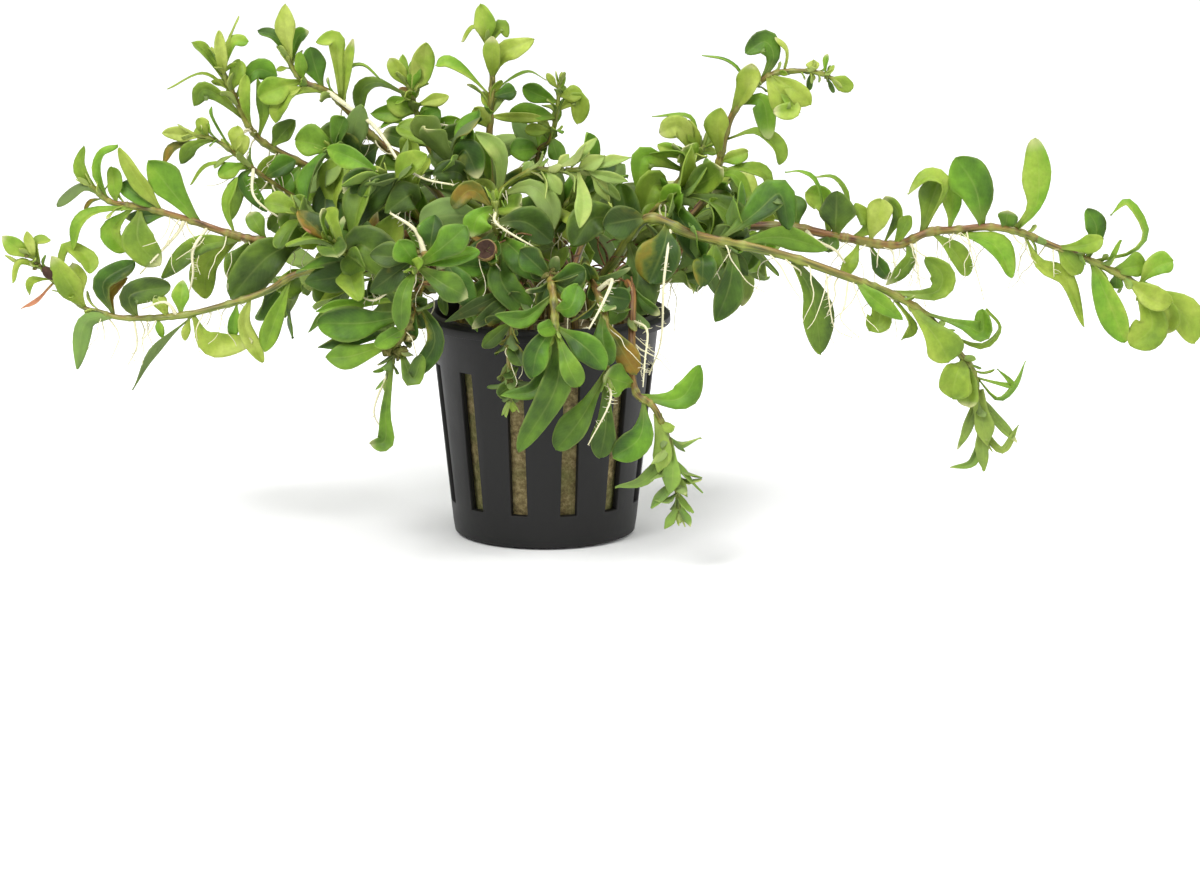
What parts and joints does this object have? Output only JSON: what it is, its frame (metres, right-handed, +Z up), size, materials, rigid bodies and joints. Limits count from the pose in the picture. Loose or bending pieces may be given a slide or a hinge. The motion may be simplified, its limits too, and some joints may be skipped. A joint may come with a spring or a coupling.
{
  "type": "potted aquarium plant",
  "caption": "Sprawling marsh plant with narrow whorled leaves on arching, trailing stems, rooted in mineral wool in a small slotted net pot.",
  "frame": {"origin": "middle of the pot's foot, on the ground", "axes": "+Z up, -Y the front that the picture shows, +X to the right in the picture"},
  "size_m": [0.2356, 0.1145, 0.1052],
  "materials": {
    "pot": "semi-matt moulded plastic",
    "wool": "matt mineral fibre",
    "shoot": null
  },
  "bodies": {
    "root": {"net_pot": "pot", "wool_plug": "wool", "shoot_left_low": "shoot", "shoot_left_middle": "shoot", "shoot_upper_left": "shoot", "shoot_small_left": "shoot", "shoot_upper_left_arch": "shoot", "shoot_top_left": "shoot", "shoot_top_middle": "shoot", "shoot_top_small": "shoot", "shoot_pale_right": "shoot", "shoot_right_top_arch": "shoot", "shoot_yellow_tuft": "shoot", "shoot_right_long_low": "shoot", "shoot_right_long_high": "shoot", "shoot_front_left_rosette": "shoot", "shoot_front_middle_rosette": "shoot", "shoot_front_lower": "shoot", "shoot_front_drooping": "shoot", "shoot_middle": "shoot", "shoot_cut_stem": "shoot", "shoot_front_left_hanging": "shoot", "shoot_front_withered": "shoot", "shoot_inner_left": "shoot", "shoot_inner_left_low": "shoot", "shoot_inner_left_high": "shoot", "shoot_inner_left_front": "shoot", "shoot_inner_middle": "shoot", "shoot_inner_middle_high": "shoot", "shoot_inner_right": "shoot", "shoot_inner_right_low": "shoot", "shoot_inner_right_high": "shoot", "shoot_back_left": "shoot", "shoot_back_middle_left": "shoot", "shoot_back_middle": "shoot", "shoot_back_right": "shoot", "shoot_back_left_low": "shoot", "shoot_back_right_low": "shoot", "shoot_back_hanging": "shoot"}
  },
  "joints": []
}
